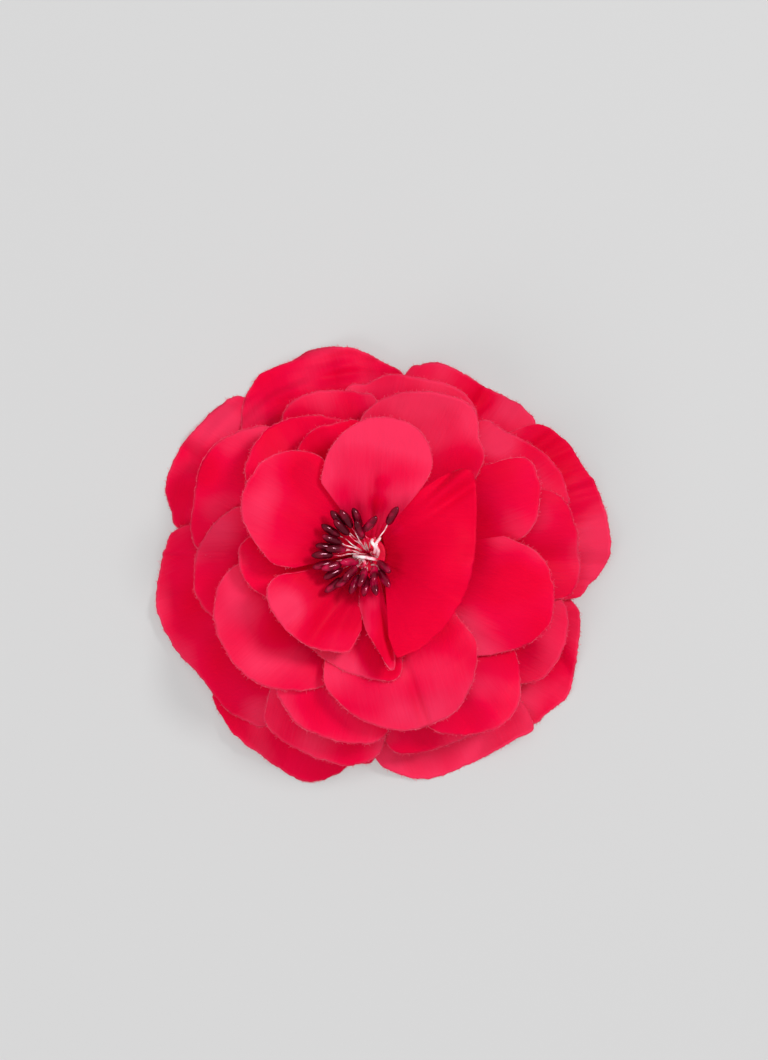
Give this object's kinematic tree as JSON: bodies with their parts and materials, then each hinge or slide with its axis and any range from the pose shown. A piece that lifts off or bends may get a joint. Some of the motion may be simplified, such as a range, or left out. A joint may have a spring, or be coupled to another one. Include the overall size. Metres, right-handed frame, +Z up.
{
  "type": "flower hair clip",
  "caption": "Large layered fabric flower with a tuft of stamens, glued to a felt-backed base on a sprung alligator clip that grips the hair.",
  "frame": {"origin": "on the surface the flower lies on, under the middle of its outline", "axes": "+Z up out of the flower's face; +X along the clip from its nose to its levers; +Y across the clip"},
  "size_m": [0.1213, 0.118, 0.0356],
  "materials": {
    "petal_satin": "satin-woven cloth, stiffened, with cut edges",
    "pip": "glossy dark red lacquer",
    "thread": "stiff pale pink glazed thread",
    "hot_glue": "hazy set glue",
    "stiff_net": "stiffened net",
    "felt": "pressed felt",
    "clip_steel": "nickel-plated pressed strip",
    "pin_steel": "plain drawn wire, headed",
    "spring_steel": "drawn spring wire"
  },
  "bodies": {
    "flower": {"clip_upper_jaw": "clip_steel", "clip_pivot_pin": "pin_steel", "clip_spring": "spring_steel", "felt_backing": "felt", "base_disc": "stiff_net", "glue_core": "hot_glue", "stamen_stem": "thread", "stamen_threads": "thread", "stamen_pips": "pip", "outer_petal_1": "petal_satin", "outer_petal_2": "petal_satin", "outer_petal_3": "petal_satin", "outer_petal_4": "petal_satin", "outer_petal_5": "petal_satin", "outer_petal_6": "petal_satin", "outer_petal_7": "petal_satin", "outer_petal_8": "petal_satin", "second_petal_1": "petal_satin", "second_petal_2": "petal_satin", "second_petal_3": "petal_satin", "second_petal_4": "petal_satin", "second_petal_5": "petal_satin", "second_petal_6": "petal_satin", "second_petal_7": "petal_satin", "second_petal_8": "petal_satin", "second_petal_9": "petal_satin", "third_petal_1": "petal_satin", "third_petal_2": "petal_satin", "third_petal_3": "petal_satin", "third_petal_4": "petal_satin", "third_petal_5": "petal_satin", "third_petal_6": "petal_satin", "third_petal_7": "petal_satin", "fourth_petal_1": "petal_satin", "fourth_petal_2": "petal_satin", "fourth_petal_3": "petal_satin", "fourth_petal_4": "petal_satin", "inner_petal_1": "petal_satin", "inner_petal_2": "petal_satin", "inner_petal_3": "petal_satin", "inner_petal_4": "petal_satin", "inner_petal_5": "petal_satin"},
    "lower_jaw": {"clip_lower_jaw": "clip_steel"}
  },
  "joints": [
    {"name": "jaw_hinge", "type": "hinge", "parent": "flower", "child": "lower_jaw", "pos_m": [0.0029, 0.00255, 0.0045], "axis": [0, -1, 0], "range_deg": [0, 30], "stiffness_Nm_per_rad": 0.15, "springref_deg": -28.65, "deforming": ["clip_spring"]}
  ]
}
